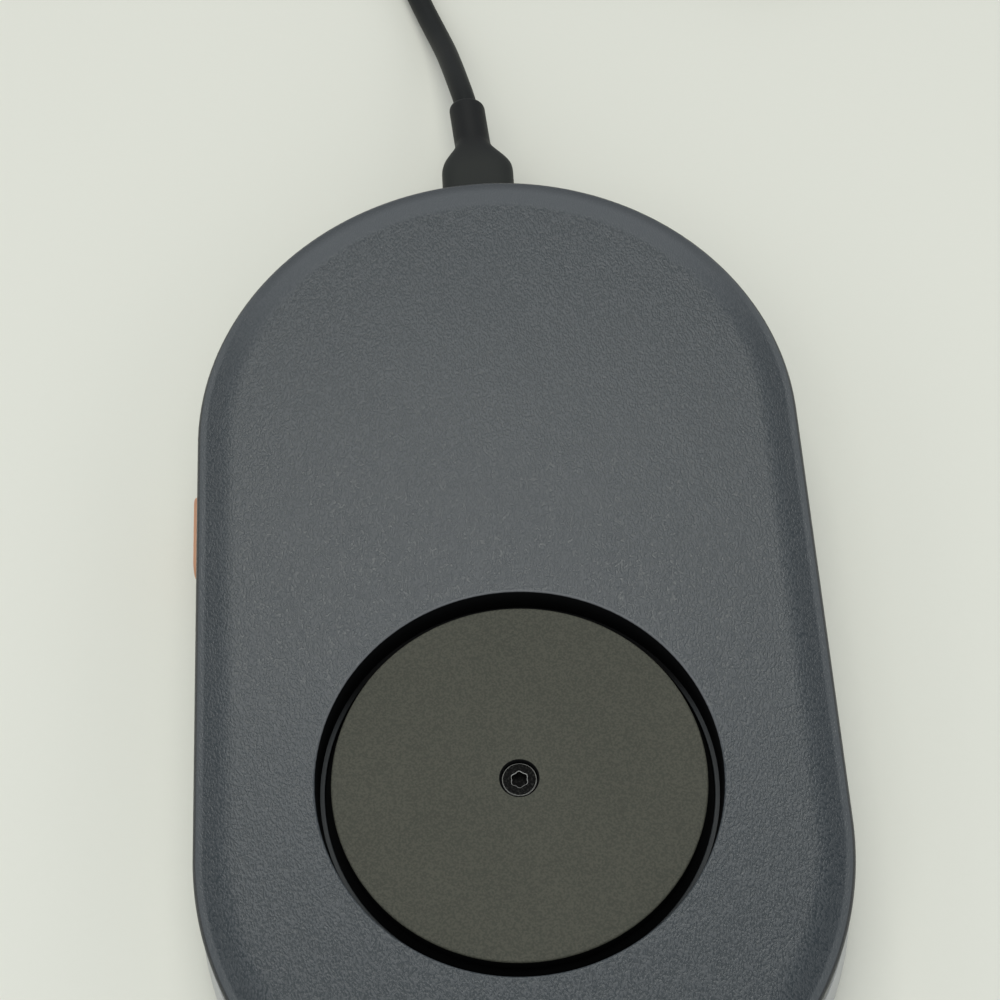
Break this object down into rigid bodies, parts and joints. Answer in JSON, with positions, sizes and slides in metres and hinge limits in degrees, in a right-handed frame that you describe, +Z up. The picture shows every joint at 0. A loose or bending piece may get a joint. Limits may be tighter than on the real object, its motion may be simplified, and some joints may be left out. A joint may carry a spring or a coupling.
{
  "type": "mouse jiggler",
  "caption": "Flat racetrack-shaped case with a slowly turning disc sunk in a round well, a push button on its left side and a cable with a plug at each end.",
  "frame": {"origin": "on the table, below the middle of the case", "axes": "+Z up, +Y along the case towards the cable end, +X to the right seen from above with the cable end away"},
  "size_m": [0.0977, 0.2674, 0.019],
  "materials": {
    "top_cover": "fine leathery grain",
    "lower_shell": "fine grain",
    "rubber_feet": "matt",
    "turntable_disc": "matt",
    "disc_screw": "blackened steel",
    "zinc_screws": "zinc plated",
    "acetal_gears": "unfilled acetal",
    "brass_parts": "machined",
    "ground_steel": "ground",
    "motor_steel": "plated sheet",
    "motor_leads": "four insulated leads",
    "gear_plate": "glass filled",
    "circuit_board": "solder mask",
    "black_mouldings": "moulded",
    "storage_capacitor": "can",
    "small_components": "ceramic chips",
    "ivory_mouldings": "moulded",
    "plated_steel": "nickel plated",
    "switch_plunger": "moulded",
    "mode_button": "translucent look, moulded",
    "cable_rubber": "soft moulding",
    "coil_tie": "flat strap"
  },
  "bodies": {
    "case": {"top_cover": "top_cover", "lower_shell": "lower_shell", "rubber_feet": "rubber_feet", "case_screws": "zinc_screws", "spindle_bush": "brass_parts", "gear_pins": "ground_steel", "gear_plate": "gear_plate", "plate_screws": "zinc_screws", "motor_can": "motor_steel", "motor_flange": "motor_steel", "motor_screws": "zinc_screws", "motor_leads": "motor_leads", "circuit_board": "circuit_board", "board_screws": "zinc_screws", "controller_chip": "black_mouldings", "chip_legs": "plated_steel", "storage_capacitor": "storage_capacitor", "small_components": "small_components", "lead_header": "ivory_mouldings", "lead_connector": "ivory_mouldings", "usb_socket": "plated_steel", "socket_tongue": "black_mouldings", "side_switch": "black_mouldings", "plug_tip": "plated_steel", "plug_grip": "cable_rubber", "cord_lead": "cable_rubber", "cord_coil": "cable_rubber", "coil_tie": "coil_tie", "cord_tail": "cable_rubber", "far_plug_grip": "cable_rubber", "far_plug_shell": "plated_steel", "far_plug_tongue": "ivory_mouldings"},
    "turntable": {"turntable_disc": "turntable_disc", "disc_screw": "disc_screw", "spindle": "ground_steel", "drive_gear": "acetal_gears"},
    "second_wheel": {"second_gear": "acetal_gears"},
    "first_wheel": {"first_gear": "acetal_gears"},
    "motor_rotor": {"motor_shaft": "ground_steel", "motor_pinion": "brass_parts"},
    "button": {"mode_button": "mode_button", "switch_plunger": "switch_plunger"}
  },
  "joints": [
    {"name": "turntable_spin", "type": "hinge", "parent": "case", "child": "turntable", "pos_m": [0, -0.0213, 0], "axis": [0, 0, 1], "continuous": true},
    {"name": "second_wheel_spin", "type": "hinge", "parent": "case", "child": "second_wheel", "pos_m": [0.00875, -0.00614, 0], "axis": [0, 0, 1], "continuous": true},
    {"name": "first_wheel_spin", "type": "hinge", "parent": "case", "child": "first_wheel", "pos_m": [0.00175, 0.00598, 0], "axis": [0, 0, 1], "continuous": true},
    {"name": "motor_spin", "type": "hinge", "parent": "case", "child": "motor_rotor", "pos_m": [0.00775, 0.01637, 0], "axis": [0, 0, 1], "continuous": true},
    {"name": "button_press", "type": "slide", "parent": "case", "child": "button", "axis": [1, 0, 0], "range_m": [0, 0.0005], "stiffness_N_per_m": 600, "springref_m": -0.001}
  ],
  "couplings": [
    {"joint": "second_wheel_spin", "follows": "turntable_spin", "ratio": -4},
    {"joint": "first_wheel_spin", "follows": "turntable_spin", "ratio": 12},
    {"joint": "motor_spin", "follows": "turntable_spin", "ratio": -36}
  ]
}
